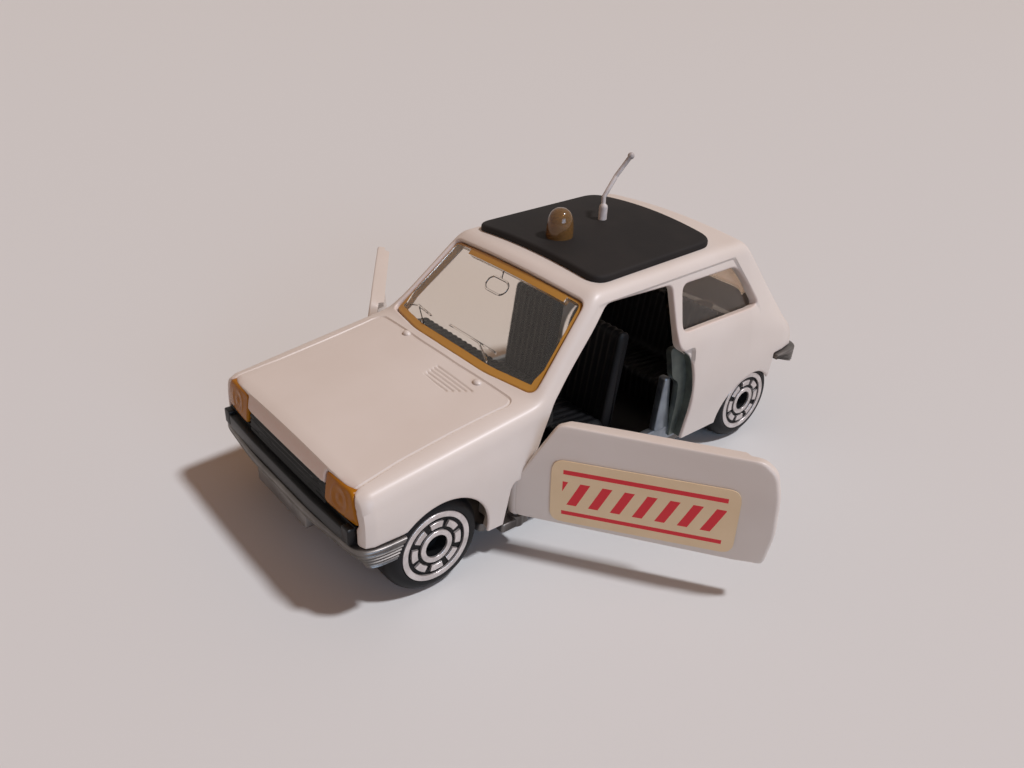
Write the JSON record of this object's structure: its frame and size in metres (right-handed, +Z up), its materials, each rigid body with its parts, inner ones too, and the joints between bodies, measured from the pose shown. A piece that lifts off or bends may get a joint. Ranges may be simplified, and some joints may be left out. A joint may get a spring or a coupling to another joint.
{
  "type": "die-cast toy car",
  "caption": "Small die-cast toy hatchback with opening doors, rolling wheels, amber-tinted glazing and lamps, and a dark roof panel carrying a beacon and a bent aerial.",
  "frame": {"origin": "on the floor under the middle of the car, halfway between the two bumpers", "axes": "+X to the car's left side, -Y towards the bonnet, +Z up"},
  "size_m": [0.083, 0.0804, 0.0416],
  "materials": {
    "white_enamel": "glossy warm-white enamel over a zinc casting",
    "bare_zinc": "bare tumbled zinc casting, dull grey",
    "black_plastic": "black moulding, semi-gloss",
    "amber_lens": "translucent amber moulding",
    "tinted_glazing": "clear amber-tinted moulding",
    "interior_plastic": "black moulding, satin",
    "roof_panel_plastic": "black moulding, matte with dust",
    "grey_soft_plastic": "soft light grey moulding",
    "label_paper": "printed self-adhesive label, satin",
    "axle_steel": "drawn steel",
    "wheel_plastic": "black moulding, satin tread",
    "silver_foil": "hot-stamped silver foil on raised wheel details"
  },
  "bodies": {
    "body": {"body_shell": "white_enamel", "base_plate": "bare_zinc", "grille": "black_plastic", "left_headlamp_lens": "amber_lens", "right_headlamp_lens": "amber_lens", "glazing": "tinted_glazing", "interior_tub": "interior_plastic", "roof_panel": "roof_panel_plastic", "roof_beacon": "amber_lens", "aerial": "grey_soft_plastic"},
    "left_door": {"left_door": "white_enamel", "left_door_label": "label_paper"},
    "right_door": {"right_door": "white_enamel", "right_door_label": "label_paper"},
    "front_wheelset": {"front_axle": "axle_steel", "front_left_wheel": "wheel_plastic", "front_left_wheel_trim": "silver_foil", "front_right_wheel": "wheel_plastic", "front_right_wheel_trim": "silver_foil"},
    "rear_wheelset": {"rear_axle": "axle_steel", "rear_left_wheel": "wheel_plastic", "rear_left_wheel_trim": "silver_foil", "rear_right_wheel": "wheel_plastic", "rear_right_wheel_trim": "silver_foil"}
  },
  "joints": [
    {"name": "left_door_hinge", "type": "hinge", "parent": "body", "child": "left_door", "pos_m": [0.0159, -0.01665, 0.0081], "axis": [0, 0, 1], "range_deg": [0, 55]},
    {"name": "right_door_hinge", "type": "hinge", "parent": "body", "child": "right_door", "pos_m": [-0.0159, -0.01665, 0.0081], "axis": [0, 0, -1], "range_deg": [0, 55]},
    {"name": "front_axle_spin", "type": "hinge", "parent": "body", "child": "front_wheelset", "pos_m": [0, -0.0291, 0.0064], "axis": [1, 0, 0], "continuous": true},
    {"name": "rear_axle_spin", "type": "hinge", "parent": "body", "child": "rear_wheelset", "pos_m": [0, 0.0276, 0.0064], "axis": [1, 0, 0], "continuous": true}
  ]
}
